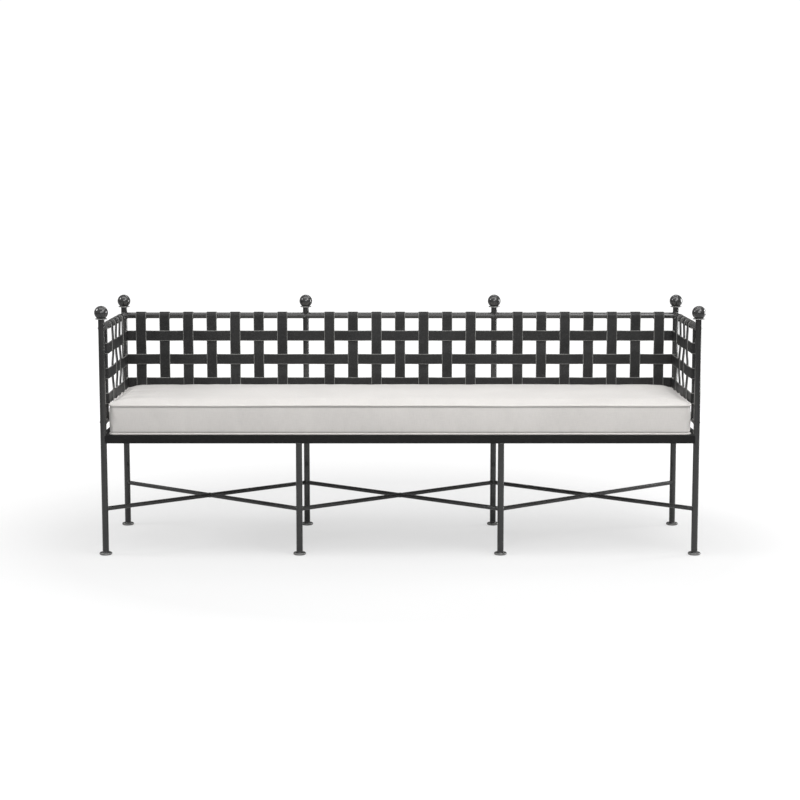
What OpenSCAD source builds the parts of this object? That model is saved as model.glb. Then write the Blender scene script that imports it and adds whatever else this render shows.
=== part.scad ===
// Woven-strap iron daybed with a loose box cushion.
// Eight tube legs, six ball finials, flat straps woven through the back and arms.
// Millimetres, +Z up, origin on the floor under the middle of the frame, front towards -Y.

/* [Frame] */
// Left to right between the corner post centres
post_span = 2040; // [1700:10:2500]
// Front to back between the corner post centres
frame_depth = 535; // [440:5:720]
// Left to right between the two middle post centres
mid_span = 696; // [560:8:880]
// Floor to the top of the seat rails
seat_height = 419.5; // [340:0.5:520]

/* [Tube and bar] */
// Outer diameter of the post and rail tube
tube_d = 22; // [18:0.5:30]
// Wall of the post and rail tube
tube_wall = 2; // [1.5:0.5:3]
// Height of the rectangular seat rails
seat_rail_h = 29; // [22:1:40]
// Thickness of the rectangular seat rails, front to back
seat_rail_t = 20; // [16:1:22]
// Wall of the rectangular seat rails
seat_rail_wall = 2; // [1.5:0.5:3]
// Outer corner radius of the seat rails and the crossbars
bar_corner = 2; // [1:0.5:3]
// Diameter of the round bar at the front of each arm
upright_d = 12; // [10:1:16]
// Distance of that bar behind the front post centre
upright_set = 60; // [45:1:80]
// Diameter of the crossed stretcher bars
stretcher_d = 15; // [12:1:18]
// Floor to the centre of the stretchers
stretcher_z = 161; // [100:1:260]

/* [Weave] */
// Width of the flat strap
strap_w = 38; // [25:1:44]
// Thickness of the flat strap
strap_t = 3; // [2:0.5:4]
// Upright straps in the middle bay, an odd number
mid_straps = 7; // [5:2:9]
// Horizontal rows of strap
rows = 3; // [3:1:4]
// Centre to centre of the rows
row_pitch = 87; // [70:1:110]
// Top of the seat rails up to the centre of the lower rail
lower_rail_rise = 43.5; // [30:0.5:80]
// Lower rail centre to the lowest row centre
bottom_gap = 76; // [60:1:100]
// Highest row centre to the top rail centre
top_gap = 74; // [60:1:100]
// Front post centre to the first upright strap of the arm
arm_first = 160; // [130:1:190]

/* [Finials and feet] */
// Post length above the top rail centre
post_rise = 31; // [20:1:90]
// Diameter of the finial ball
ball_d = 47; // [36:1:60]
// Diameter of the flat under the ball
ball_seat_d = 26; // [22:1:30]
// Diameter of the disc collar under the ball
collar_d = 41; // [34:1:50]
// Thickness of the disc collar
collar_t = 3; // [2:0.5:5]
// Diameter of the foot disc
foot_d = 44; // [34:1:60]
// Thickness of the foot disc
foot_t = 9; // [6:0.5:12]
// Length of the spigot inside the tube, on finials and feet
spigot_l = 25; // [15:1:40]
// Gap around a spigot inside the tube
spigot_gap = 0.1; // [0.05:0.05:0.3]

/* [Seat deck] */
// Centre to centre of the deck slats
slat_pitch = 116; // [80:1:160]
// Side of the square crossbars under the slats
crossbar = 20; // [15:1:25]

/* [Cushion] */
// Height of the cushion
cushion_h = 114; // [80:1:150]
// Gap between the cushion and the arm straps
cushion_side_gap = 2; // [1:0.5:15]
// Gap between the cushion and the back straps
cushion_rear_gap = 4; // [1:0.5:15]
// Cushion front behind the face of the front seat rail
cushion_setback = 3; // [0:1:20]
// Gap under the cushion
cushion_lift_gap = 0.3; // [0.2:0.1:1]
// Radius of the cushion's upright corners
cushion_corner = 18; // [12:1:40]
// Diameter of the piping cord
piping_d = 6.5; // [4:0.5:9]
// Cushion top above the centre of the upper piping
piping_drop = 13; // [6:1:20]
// Thickness of the cover with its fibre wrap
cover_t = 8; // [6:1:12]

/* [Hidden] */
$fn = 64;
tube_r = tube_d / 2;
bore_r = tube_r - tube_wall;
half_span = post_span / 2;
half_mid = mid_span / 2;
half_depth = frame_depth / 2;
front_y = -half_depth;
rear_y = half_depth;
cut = 1;                                   // overshoot of a cutting solid

lower_rail_z = seat_height + lower_rail_rise;
top_rail_z = lower_rail_z + bottom_gap + (rows - 1) * row_pitch + top_gap;
post_top = top_rail_z + post_rise;
leg_top = seat_height - seat_rail_h;
function row_z(row) = top_rail_z - top_gap - (row - 1) * row_pitch;

weave_pitch = mid_span / (mid_straps + 1);
post_index = (mid_straps + 1) / 2;
corner_gap = strap_w / 2 + tube_r + strap_t;
outer_straps = floor((half_span - half_mid - corner_gap) / weave_pitch);
arm_straps = 1 + floor((frame_depth - arm_first - corner_gap - weave_pitch / 2) / weave_pitch);
weave_plane = tube_r + strap_t / 2;        // rail centre to the middle of the weave
weave_swing = strap_t / 2;                 // a strap and a row each bend by half a thickness
weave_inside = weave_plane + weave_swing + strap_t / 2;
flat_half = strap_w / 2 + 1;               // half the straight stretch where two straps cross
ease_steps = 8;

cushion_half = half_span - weave_inside - cushion_side_gap;
cushion_front = front_y - seat_rail_t / 2 + cushion_setback;
cushion_rear = rear_y - weave_inside - cushion_rear_gap;
cushion_z = seat_height + cushion_lift_gap;
piping_r = piping_d / 2;

slat_edge_gap = 2;                         // least gap between the end slats and the side rails
slat_reach = half_span - seat_rail_t / 2 - strap_w / 2 - slat_edge_gap;
slat_half_count = floor(slat_reach / slat_pitch + 0.5);

iron = [0.22, 0.22, 0.21];
strap_iron = [0.17, 0.17, 0.17];
linen = [0.87, 0.85, 0.83];
foam = [0.95, 0.93, 0.80];
piping_white = [0.92, 0.90, 0.88];

// ---- helpers -------------------------------------------------------------

// Every side piece is drawn on the left (-X) and mirrored for the right
module on_side(side) {
    if (side == "right") mirror([1, 0, 0]) children();
    else children();
}

// Solid of a full-height post, used to cope whatever meets it
module post_envelope(x, y) {
    translate([x, y, -cut]) cylinder(d = tube_d, h = post_top + 2 * cut);
}

module rear_post_envelopes() {
    for (x = [-half_span, -half_mid, half_mid, half_span]) post_envelope(x, rear_y);
}

module tube_post(x, y, top) {
    color(iron) translate([x, y, foot_t]) difference() {
        cylinder(d = tube_d, h = top - foot_t);
        translate([0, 0, -cut]) cylinder(r = bore_r, h = top - foot_t + 2 * cut);
    }
}

// Round tube along X or along Y between two points
module tube_along_x(x0, x1, y, z, r) {
    translate([x0, y, z]) rotate([0, 90, 0]) cylinder(r = r, h = x1 - x0);
}

module tube_along_y(x, y0, y1, z, r) {
    translate([x, y0, z]) rotate([-90, 0, 0]) cylinder(r = r, h = y1 - y0);
}

// Bar along +X with rounded long edges, its lowest corner at the origin
module rounded_bar(length, width, height, r) {
    translate([0, r, 0]) cube([length, width - 2 * r, height]);
    translate([0, 0, r]) cube([length, width, height - 2 * r]);
    for (y = [r, width - r], z = [r, height - r]) tube_along_x(0, length, y, z, r);
}

// Round bar between two plan points at one height
module bar_between(a, b, z, d) {
    run = b - a;
    translate([a[0], a[1], z]) rotate([0, 0, atan2(run[1], run[0])])
        rotate([0, 90, 0]) cylinder(d = d, h = norm(run));
}

// ---- posts, finials and feet ----------------------------------------------

// Ball turned with a flat seat, and a spigot that drops into the tube
module finial(x, y) {
    ball_rise = sqrt(ball_d * ball_d - ball_seat_d * ball_seat_d) / 2;
    color(iron) translate([x, y, post_top + collar_t]) {
        difference() {
            translate([0, 0, ball_rise]) sphere(d = ball_d);
            translate([0, 0, -ball_d]) cylinder(d = 2 * ball_d, h = ball_d);
        }
        translate([0, 0, -collar_t - spigot_l])
            cylinder(r = bore_r - spigot_gap, h = collar_t + spigot_l + ball_rise);
    }
}

module collar(x, y) {
    color(iron) translate([x, y, post_top]) difference() {
        cylinder(d = collar_d, h = collar_t);
        translate([0, 0, -cut]) cylinder(r = bore_r - spigot_gap, h = collar_t + 2 * cut);
    }
}

module finial_collars() {
    for (x = [-half_span, half_span]) collar(x, front_y);
    for (x = [-half_span, -half_mid, half_mid, half_span]) collar(x, rear_y);
}

// Disc foot with a bullnose edge, and a spigot up into the leg
module foot(x, y) {
    edge = foot_t / 2;
    color(iron) translate([x, y, 0]) {
        rotate_extrude() {
            square([foot_d / 2 - edge, foot_t]);
            translate([foot_d / 2 - edge, edge]) intersection() {
                circle(r = edge);
                translate([0, -edge]) square([edge, foot_t]);
            }
        }
        cylinder(r = bore_r - spigot_gap, h = foot_t + spigot_l);
    }
}

// ---- rails -----------------------------------------------------------------

// Rail tube of the outer back bay, coped to both posts and to the arm rail
module back_rail_outer(z) {
    color(iron) difference() {
        tube_along_x(-half_span, -half_mid, rear_y, z, tube_r);
        tube_along_x(-half_span, -half_mid, rear_y, z, bore_r);
        post_envelope(-half_span, rear_y);
        post_envelope(-half_mid, rear_y);
        tube_along_y(-half_span, front_y, rear_y, z, tube_r);
    }
}

module back_rail_mid(z) {
    color(iron) difference() {
        tube_along_x(-half_mid, half_mid, rear_y, z, tube_r);
        tube_along_x(-half_mid, half_mid, rear_y, z, bore_r);
        post_envelope(-half_mid, rear_y);
        post_envelope(half_mid, rear_y);
    }
}

module arm_rail(z) {
    color(iron) difference() {
        tube_along_y(-half_span, front_y, rear_y, z, tube_r);
        tube_along_y(-half_span, front_y, rear_y, z, bore_r);
        post_envelope(-half_span, front_y);
        post_envelope(-half_span, rear_y);
    }
}

// Bar that carries the front ends of the arm's rows, flush with the rails' inner side
upright_x = -half_span + tube_r - upright_d / 2;
module arm_upright() {
    color(iron) difference() {
        translate([upright_x, front_y + upright_set, lower_rail_z])
            cylinder(d = upright_d, h = top_rail_z - lower_rail_z);
        tube_along_y(-half_span, front_y, rear_y, top_rail_z, tube_r);
        tube_along_y(-half_span, front_y, rear_y, lower_rail_z, tube_r);
    }
}

// Rectangular seat tube along +X, its lowest corner at the origin
module seat_tube(length) {
    inset = seat_rail_wall;
    difference() {
        rounded_bar(length, seat_rail_t, seat_rail_h, bar_corner);
        translate([-cut, inset, inset])
            cube([length + 2 * cut, seat_rail_t - 2 * inset, seat_rail_h - 2 * inset]);
    }
}

module seat_tube_x(x0, x1, y) {
    translate([x0, y - seat_rail_t / 2, leg_top]) seat_tube(x1 - x0);
}

module seat_rail_front() {
    color(strap_iron) difference() {
        seat_tube_x(-half_span, half_span, front_y);
        post_envelope(-half_span, front_y);
        post_envelope(half_span, front_y);
    }
}

module seat_rail_rear() {
    for (span = [[-half_span, -half_mid], [-half_mid, half_mid], [half_mid, half_span]])
        color(strap_iron) difference() {
            seat_tube_x(span[0], span[1], rear_y);
            rear_post_envelopes();
        }
}

module seat_rail_side() {
    color(strap_iron) difference() {
        translate([-half_span + seat_rail_t / 2, front_y + seat_rail_t / 2, leg_top])
            rotate([0, 0, 90]) seat_tube(frame_depth - seat_rail_t);
        post_envelope(-half_span, front_y);
        post_envelope(-half_span, rear_y);
    }
}

// ---- stretchers --------------------------------------------------------------

// One crossing runs through and the other is two halves coped to it
module stretcher_through(left_x, right_x) {
    color(iron) difference() {
        bar_between([left_x, front_y], [right_x, rear_y], stretcher_z, stretcher_d);
        post_envelope(left_x, front_y);
        post_envelope(right_x, rear_y);
    }
}

module stretcher_halves(left_x, right_x) {
    color(iron) difference() {
        bar_between([right_x, front_y], [left_x, rear_y], stretcher_z, stretcher_d);
        bar_between([left_x, front_y], [right_x, rear_y], stretcher_z, stretcher_d);
        post_envelope(right_x, front_y);
        post_envelope(left_x, rear_y);
    }
}

// ---- woven straps --------------------------------------------------------------

// Sideways place of an upright strap: +1 passes inside a row, -1 passes outside it
function weave_stops(signs) = concat(
    [[top_rail_z, 0]],
    [for (row = [1 : rows]) each [
        [row_z(row) + flat_half, signs[row - 1] * weave_swing],
        [row_z(row) - flat_half, signs[row - 1] * weave_swing]
    ]],
    [[lower_rail_z, 0]]
);
function ease(a, b, u) = a + (b - a) * (1 - cos(180 * u)) / 2;
function weave_path(stops) = concat(
    [stops[0]],
    [for (i = [0 : len(stops) - 2]) let (a = stops[i], b = stops[i + 1])
        each a[1] == b[1] ? [b] : [for (k = [1 : ease_steps]) let (u = k / ease_steps)
            [a[0] + (b[0] - a[0]) * u, ease(a[1], b[1], u)]]]
);

// Strap of one weave path in its own plane: x is towards the inside of the frame
module ribbon(stops) {
    path = weave_path(stops);
    last = len(path) - 1;
    inner = [for (p = path) [p[1] + strap_t / 2, p[0]]];
    outer = [for (i = [0 : last]) [path[last - i][1] - strap_t / 2, path[last - i][0]]];
    linear_extrude(strap_w, center = true) polygon(concat(inner, outer));
}

module upright_strap(signs) {
    ribbon(weave_stops(signs));
    for (z = [top_rail_z, lower_rail_z]) translate([-weave_plane, z, 0]) difference() {
        cylinder(r = tube_r + strap_t, h = strap_w, center = true);
        cylinder(r = tube_r, h = strap_w + 2 * cut, center = true);
    }
}

function back_signs(index) = [for (row = [1 : rows]) (index + row) % 2 == 0 ? 1 : -1];
function arm_signs(index) = let (edge = min(index, arm_straps - 1 - index))
    [for (row = [1 : rows]) (edge + row) % 2 == 1 ? 1 : -1];

module back_strap(index) {
    color(strap_iron) translate([index * weave_pitch, rear_y - weave_plane, 0])
        rotate([90, 0, -90]) upright_strap(back_signs(abs(index)));
}

module back_straps_outer() {
    for (i = [1 : outer_straps]) back_strap(-post_index - i);
}

module back_straps_mid() {
    for (i = [1 - post_index : post_index - 1]) back_strap(i);
}

module arm_straps_set() {
    for (i = [0 : arm_straps - 1])
        color(strap_iron) translate([-half_span + weave_plane, front_y + arm_first + i * weave_pitch, 0])
            rotate([90, 0, 0]) upright_strap(arm_signs(i));
}

// A row bends the other way from each upright strap it crosses
function crossing_stops(place, sign) = [
    [place - flat_half, -sign * weave_swing],
    [place + flat_half, -sign * weave_swing]
];
corner_x = half_span - tube_r - strap_t;
function bay_stops(from, to, row) = [
    for (k = [from : to]) each crossing_stops(k * weave_pitch, back_signs(abs(k))[row - 1])
];
function back_row_stops(row) = concat(
    [[-half_span, 0], [-corner_x, 0]],
    bay_stops(-post_index - outer_straps, -post_index - 1, row),
    [[-half_mid - tube_r, 0], [-half_mid + tube_r, 0]],
    bay_stops(1 - post_index, post_index - 1, row),
    [[half_mid - tube_r, 0], [half_mid + tube_r, 0]],
    bay_stops(post_index + 1, post_index + outer_straps, row),
    [[corner_x, 0], [half_span, 0]]
);

// Row across the whole back, in front of the posts
module back_row(row) {
    color(strap_iron) translate([0, rear_y - weave_plane, row_z(row)])
        rotate([0, 0, -90]) ribbon(back_row_stops(row));
}

// Row along the arm, from the corner to an eye round the upright
module arm_row(row) {
    eye_y = front_y + upright_set;
    stops = concat(
        [[eye_y, 0]],
        [for (i = [0 : arm_straps - 1])
            each crossing_stops(front_y + arm_first + i * weave_pitch, arm_signs(i)[row - 1])],
        [[rear_y - tube_r - strap_t, 0]]
    );
    color(strap_iron) translate([0, 0, row_z(row)]) difference() {
        union() {
            translate([-half_span + weave_plane, 0, 0]) ribbon(stops);
            translate([upright_x, eye_y, 0])
                cylinder(d = upright_d + 2 * strap_t, h = strap_w, center = true);
        }
        translate([upright_x, eye_y, 0])
            cylinder(d = upright_d, h = strap_w + 2 * cut, center = true);
    }
}

module arm_rows() {
    for (row = [1 : rows]) arm_row(row);
}

// ---- seat deck -------------------------------------------------------------------

module deck_crossbars() {
    for (x = [-half_mid, half_mid])
        color(iron) difference() {
            translate([x + crossbar / 2, front_y + seat_rail_t / 2, seat_height - strap_t - crossbar])
                rotate([0, 0, 90])
                    rounded_bar(frame_depth - seat_rail_t, crossbar, crossbar, bar_corner);
            rear_post_envelopes();
        }
}

module deck_slats() {
    for (i = [-slat_half_count : slat_half_count - 1])
        color(strap_iron) difference() {
            translate([(i + 0.5) * slat_pitch - strap_w / 2, front_y + seat_rail_t / 2, seat_height - strap_t])
                cube([strap_w, frame_depth - seat_rail_t, strap_t]);
            rear_post_envelopes();
        }
}

// ---- cushion -----------------------------------------------------------------------

// Box with upright rounded corners, inset all round
module cushion_block(inset, z0, z1) {
    half_x = cushion_half - piping_r - inset;
    y0 = cushion_front + piping_r + inset;
    y1 = cushion_rear - piping_r - inset;
    r = cushion_corner - inset;
    for (sx = [-1, 1], y = [y0 + r, y1 - r])
        translate([sx * (half_x - r), y, z0]) cylinder(r = r, h = z1 - z0);
    translate([-half_x + r, y0, z0]) cube([2 * (half_x - r), y1 - y0, z1 - z0]);
    translate([-half_x, y0 + r, z0]) cube([2 * half_x, y1 - y0 - 2 * r, z1 - z0]);
}

// Piping cord round the block at one height
module piping_ring(z) {
    half_x = cushion_half - piping_r;
    y0 = cushion_front + piping_r;
    y1 = cushion_rear - piping_r;
    r = cushion_corner;
    for (y = [y0, y1]) tube_along_x(-half_x + r, half_x - r, y, z, piping_r);
    for (x = [-half_x, half_x]) tube_along_y(x, y0 + r, y1 - r, z, piping_r);
    for (corner = [[1, 1, 0], [-1, 1, 90], [-1, -1, 180], [1, -1, 270]])
        translate([corner[0] * (half_x - r), corner[1] > 0 ? y1 - r : y0 + r, z])
            rotate([0, 0, corner[2]]) rotate_extrude(angle = 90)
                translate([r, 0]) circle(r = piping_r);
}

lower_piping_z = cushion_z + piping_r;
upper_piping_z = cushion_z + cushion_h - piping_drop;

module cushion_piping() {
    color(piping_white) piping_ring(lower_piping_z);
    color(piping_white) piping_ring(upper_piping_z);
}

module cushion_cover() {
    color(linen) difference() {
        cushion_block(0, cushion_z, cushion_z + cushion_h);
        cushion_block(cover_t, cushion_z + cover_t, cushion_z + cushion_h - cover_t);
        piping_ring(lower_piping_z);
        piping_ring(upper_piping_z);
    }
}

module cushion_core() {
    color(foam) cushion_block(cover_t, cushion_z + cover_t, cushion_z + cushion_h - cover_t);
}

// ---- nodes ---------------------------------------------------------------------------

tube_post(-half_span, front_y, post_top);  // front_post_left
tube_post(half_span, front_y, post_top);  // front_post_right
tube_post(-half_mid, front_y, leg_top);  // front_leg_mid_left
tube_post(half_mid, front_y, leg_top);  // front_leg_mid_right
tube_post(-half_span, rear_y, post_top);  // rear_post_left
tube_post(half_span, rear_y, post_top);  // rear_post_right
tube_post(-half_mid, rear_y, post_top);  // rear_post_mid_left
tube_post(half_mid, rear_y, post_top);  // rear_post_mid_right

finial(-half_span, front_y);  // finial_front_left
finial(half_span, front_y);  // finial_front_right
finial(-half_span, rear_y);  // finial_rear_left
finial(half_span, rear_y);  // finial_rear_right
finial(-half_mid, rear_y);  // finial_rear_mid_left
finial(half_mid, rear_y);  // finial_rear_mid_right
finial_collars();

foot(-half_span, front_y);  // foot_front_left
foot(half_span, front_y);  // foot_front_right
foot(-half_mid, front_y);  // foot_front_mid_left
foot(half_mid, front_y);  // foot_front_mid_right
foot(-half_span, rear_y);  // foot_rear_left
foot(half_span, rear_y);  // foot_rear_right
foot(-half_mid, rear_y);  // foot_rear_mid_left
foot(half_mid, rear_y);  // foot_rear_mid_right

back_rail_outer(top_rail_z);  // back_top_rail_left
back_rail_mid(top_rail_z);  // back_top_rail_mid
on_side("right") back_rail_outer(top_rail_z);  // back_top_rail_right
back_rail_outer(lower_rail_z);  // back_lower_rail_left
back_rail_mid(lower_rail_z);  // back_lower_rail_mid
on_side("right") back_rail_outer(lower_rail_z);  // back_lower_rail_right
arm_rail(top_rail_z);  // arm_top_rail_left
on_side("right") arm_rail(top_rail_z);  // arm_top_rail_right
arm_rail(lower_rail_z);  // arm_lower_rail_left
on_side("right") arm_rail(lower_rail_z);  // arm_lower_rail_right
arm_upright();  // arm_upright_left
on_side("right") arm_upright();  // arm_upright_right

seat_rail_front();
seat_rail_rear();
seat_rail_side();  // seat_rail_left
on_side("right") seat_rail_side();  // seat_rail_right

stretcher_through(-half_span, -half_mid);  // stretcher_through_left
stretcher_through(-half_mid, half_mid);  // stretcher_through_mid
stretcher_through(half_mid, half_span);  // stretcher_through_right
stretcher_halves(-half_span, -half_mid);  // stretcher_halves_left
stretcher_halves(-half_mid, half_mid);  // stretcher_halves_mid
stretcher_halves(half_mid, half_span);  // stretcher_halves_right

back_row(1);  // back_row_top
for (row = [2 : rows - 1]) back_row(row);  // back_row_middle
back_row(rows);  // back_row_bottom
arm_rows();  // arm_rows_left
on_side("right") arm_rows();  // arm_rows_right
back_straps_outer();  // back_straps_left
back_straps_mid();
on_side("right") back_straps_outer();  // back_straps_right
arm_straps_set();  // arm_straps_left
on_side("right") arm_straps_set();  // arm_straps_right

deck_crossbars();
deck_slats();

cushion_cover();
cushion_core();
cushion_piping();
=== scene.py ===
"""Iron daybed with woven flat straps and one loose box cushion, built round its packed frame."""

import math

import bmesh
import bpy
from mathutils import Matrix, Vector, noise


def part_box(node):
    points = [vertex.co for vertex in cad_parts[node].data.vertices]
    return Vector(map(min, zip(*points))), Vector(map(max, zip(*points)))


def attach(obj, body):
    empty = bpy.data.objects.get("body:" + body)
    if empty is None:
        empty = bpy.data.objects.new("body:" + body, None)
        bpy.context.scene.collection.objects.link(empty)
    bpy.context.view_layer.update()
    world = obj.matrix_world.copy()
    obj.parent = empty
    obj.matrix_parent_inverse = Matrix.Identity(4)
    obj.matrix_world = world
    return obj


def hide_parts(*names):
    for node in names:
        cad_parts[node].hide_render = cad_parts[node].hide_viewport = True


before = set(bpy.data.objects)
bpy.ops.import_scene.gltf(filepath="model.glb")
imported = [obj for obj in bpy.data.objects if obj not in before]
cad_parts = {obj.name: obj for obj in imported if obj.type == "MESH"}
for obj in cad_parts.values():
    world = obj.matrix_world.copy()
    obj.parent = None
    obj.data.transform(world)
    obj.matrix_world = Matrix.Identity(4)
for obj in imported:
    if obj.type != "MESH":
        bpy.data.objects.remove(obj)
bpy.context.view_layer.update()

bl_info = {
    "name": "Woven iron daybed",
    "version": (1, 0, 0),
    "blender": (4, 5, 0),
    "location": "3D View > Sidebar > Daybed",
    "description": "Paints the iron frame, weaves its straps and upholsters its cushion",
    "category": "Object",
}

MM = 0.001
FRAME_BODY = "frame"
CUSHION_BODY = "cushion"


# ---- sizes taken from the frame ---------------------------------------------


def middle(node):
    low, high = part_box(node)
    return (low + high) / 2


def extent(node):
    low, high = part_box(node)
    return high - low


TUBE_R = extent("front_leg_mid_left").x / 2
HALF_SPAN = middle("front_post_right").x
HALF_MID = middle("rear_post_mid_right").x
FRONT_Y = middle("front_post_left").y
REAR_Y = middle("rear_post_left").y
POST_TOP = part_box("finial_collars")[0].z
TOP_RAIL_Z = middle("back_top_rail_mid").z
LOWER_RAIL_Z = middle("back_lower_rail_mid").z
ROW_HEIGHTS = [middle(f"back_row_{row}").z for row in ("top", "middle", "bottom")]
STRAP_W = extent("back_row_top").z
STRAP_T = extent("deck_slats").z
WEAVE_OFFSET = TUBE_R + STRAP_T / 2
WEAVE_SWING = STRAP_T / 2
UPRIGHT_R = extent("arm_upright_left").y / 2
UPRIGHT_X = middle("arm_upright_left").x
UPRIGHT_Y = middle("arm_upright_left").y
STRETCHER_R = extent("stretcher_through_mid").z / 2
STRETCHER_Z = middle("stretcher_through_mid").z
SEAT_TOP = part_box("seat_rail_front")[1].z
SEAT_RAIL = extent("seat_rail_left")
FOOT_TOP, LEG_TOP = (corner.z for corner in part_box("front_leg_mid_left"))
BACK_RUN = extent("back_straps_mid").x
ARM_LOW, ARM_HIGH = (corner.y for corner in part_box("arm_straps_left"))
COLLAR = extent("finial_collars")
CUSHION_LOW, CUSHION_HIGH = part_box("cushion_piping")
PIPING_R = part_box("cushion_cover")[0].x - CUSHION_LOW.x
POSTS_X = [-HALF_SPAN, -HALF_MID, HALF_MID, HALF_SPAN]


# ---- settings ------------------------------------------------------------------


def amount(label, note, value, low=0.0, high=1.0):
    return bpy.props.FloatProperty(name=label, description=note, default=value, min=low, max=high)


def whole(label, note, value, low, high):
    return bpy.props.IntProperty(name=label, description=note, default=value, min=low, max=high)


def metres(label, note, value):
    return bpy.props.FloatProperty(name=label, description=note, default=value, unit="LENGTH")


def degrees(label, note, value):
    turn = math.radians(value)
    return bpy.props.FloatProperty(name=label, description=note, default=turn, subtype="ANGLE")


def tint(label, note, *value):
    return bpy.props.FloatVectorProperty(
        name=label, description=note, default=value, subtype="COLOR"
    )


class DaybedPaint(bpy.types.PropertyGroup):
    """Colours and gloss of the iron."""

    tube_colour: tint(
        "Tube colour", "Powder coat on the posts, rails and stretchers", 0.015, 0.015, 0.0147
    )
    strap_colour: tint("Strap colour", "Powder coat on the flat straps", 0.018, 0.018, 0.018)
    seat_colour: tint(
        "Seat rail colour", "Powder coat on the rectangular seat rails", 0.008, 0.008, 0.008
    )
    tube_gloss: amount("Tube roughness", "Roughness of the coat on the tubes", 0.22, low=0.1)
    strap_gloss: amount("Strap roughness", "Roughness of the coat on the straps", 0.42, low=0.1)


class DaybedStraps(bpy.types.PropertyGroup):
    """Counts and edges of the woven straps."""

    bay_count: whole("Straps in a bay", "Upright straps in each bay of the back", 7, 3, 11)
    arm_count: whole("Straps in an arm", "Upright straps in each arm", 4, 2, 6)
    slat_count: whole("Deck slats", "Slats from the front seat rail to the rear one", 18, 4, 30)
    edge_round: metres("Edge rounding", "Radius along the edges of the straps", 1.1 * MM)
    loop_gap: degrees(
        "Loop gap", "Angle between a strap and the end of its loop round a rail", 4
    )


class DaybedWelds(bpy.types.PropertyGroup):
    """Weld beads under the paint."""

    bead_radius: metres(
        "Bead radius", "Radius of the weld beads at the joints of the frame", 1.7 * MM
    )
    ripple_length: metres(
        "Ripple length", "Distance from one ripple of a bead to the next", 3.2 * MM
    )
    ripple_height: amount(
        "Ripple height", "Swelling at each ripple, as a share of the bead radius", 0.12, high=0.5
    )


class DaybedCushion(bpy.types.PropertyGroup):
    """Shape and cloth of the cushion."""

    cloth_colour: tint("Cloth colour", "Off-white of the woven cover", 0.655, 0.633, 0.611)
    thread_pitch: metres(
        "Thread pitch", "Distance from one thread of the weave to the next", 0.8 * MM
    )
    crown: metres(
        "Crown", "Height of the middle of the top above its piping, before filling", 17 * MM
    )
    swell_limit: metres(
        "Swell limit", "Furthest that filling pushes the top of the cover out", 6 * MM
    )
    side_limit: metres(
        "Boxing swell limit", "Furthest that filling pushes the boxing out", 3.5 * MM
    )
    pleat_height: metres(
        "Pleat height", "Height of the soft folds at the two ends of the top", 5.5 * MM
    )
    pleat_reach: metres(
        "Pleat reach", "Distance over which the end folds fade into the top", 130 * MM
    )
    zip_length: metres("Zip length", "Length of the zip in the rear boxing", 1.3)


class DaybedStage(bpy.types.PropertyGroup):
    """Camera, floor and lights."""

    camera_place: bpy.props.FloatVectorProperty(
        name="Camera place",
        description="Where the camera stands",
        subtype="TRANSLATION",
        unit="LENGTH",
        default=(0.0, -6.644, 1.361),
    )
    camera_tilt: degrees("Camera tilt", "How far the camera looks below the horizon", 7.334)
    lens: amount("Lens", "Focal length of the camera in millimetres", 84.29, 20, 200)
    surround: amount(
        "Surround light", "Strength of the white surround at its weakest", 0.15, high=4.0
    )
    glow: amount(
        "Floor glow", "Light that the floor gives off, which softens the shadows on it", 0.53
    )


SETTINGS = {
    "daybed_paint": DaybedPaint,
    "daybed_straps": DaybedStraps,
    "daybed_welds": DaybedWelds,
    "daybed_cushion": DaybedCushion,
    "daybed_stage": DaybedStage,
}


# ---- node trees ------------------------------------------------------------------

FLOAT, INT, BOOL = "NodeSocketFloat", "NodeSocketInt", "NodeSocketBool"
VECTOR, OBJECT, MATERIAL = "NodeSocketVector", "NodeSocketObject", "NodeSocketMaterial"
GEOMETRY = "NodeSocketGeometry"


class Tree:
    """Node tree in the making; its calls add nodes and give back their outputs."""

    def __init__(self, tree):
        self.tree = tree

    def add(self, kind, sockets=None, **settings):
        """New node, with its settings made before its inputs are fed."""
        made = self.tree.nodes.new(kind)
        for key, value in settings.items():
            setattr(made, key, value)
        self.feed(made.inputs, sockets or {})
        return made.outputs

    def feed(self, inputs, sockets):
        """Gives each input, by name or number, a value or the output that feeds it."""
        for key, value in sockets.items():
            if isinstance(value, bpy.types.NodeSocket):
                self.tree.links.new(value, inputs[key])
            else:
                inputs[key].default_value = value

    def math(self, operation, *values):
        return self.add("ShaderNodeMath", dict(enumerate(values)), operation=operation)[0]

    def split(self, vector):
        return self.add("ShaderNodeSeparateXYZ", {0: vector})

    def ramp(self, value, start, end, low=0.0, high=1.0, kind="LINEAR"):
        """Value moved from the range start to end onto the range low to high."""
        ends = {"Value": value, "From Min": start, "From Max": end, "To Min": low, "To Max": high}
        return self.add("ShaderNodeMapRange", ends, interpolation_type=kind)[0]

    def noise(self, place, scale, detail):
        sizes = {"Vector": place, "Scale": scale, "Detail": detail}
        return self.add("ShaderNodeTexNoise", sizes)["Fac"]

    def bump(self, height, distance, strength):
        sizes = {"Height": height, "Distance": distance, "Strength": strength}
        return self.add("ShaderNodeBump", sizes)[0]

    def blend(self, factor, first, second):
        return self.add("ShaderNodeMix", {0: factor, 6: first, 7: second}, data_type="RGBA")[2]

    def toned(self, tone, colour, dark, light):
        """Colour that runs from dark to light shares of one colour as the tone rises."""
        return self.blend(tone, opaque(colour, dark), opaque(colour, light))

    def mix(self, factor, first, second):
        return self.add("ShaderNodeMixShader", {0: factor, 1: first, 2: second})[0]

    def object_place(self):
        return self.add("ShaderNodeTexCoord")["Object"]


def opaque(colour, share=1.0):
    return [*(channel * share for channel in colour), 1.0]


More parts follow.
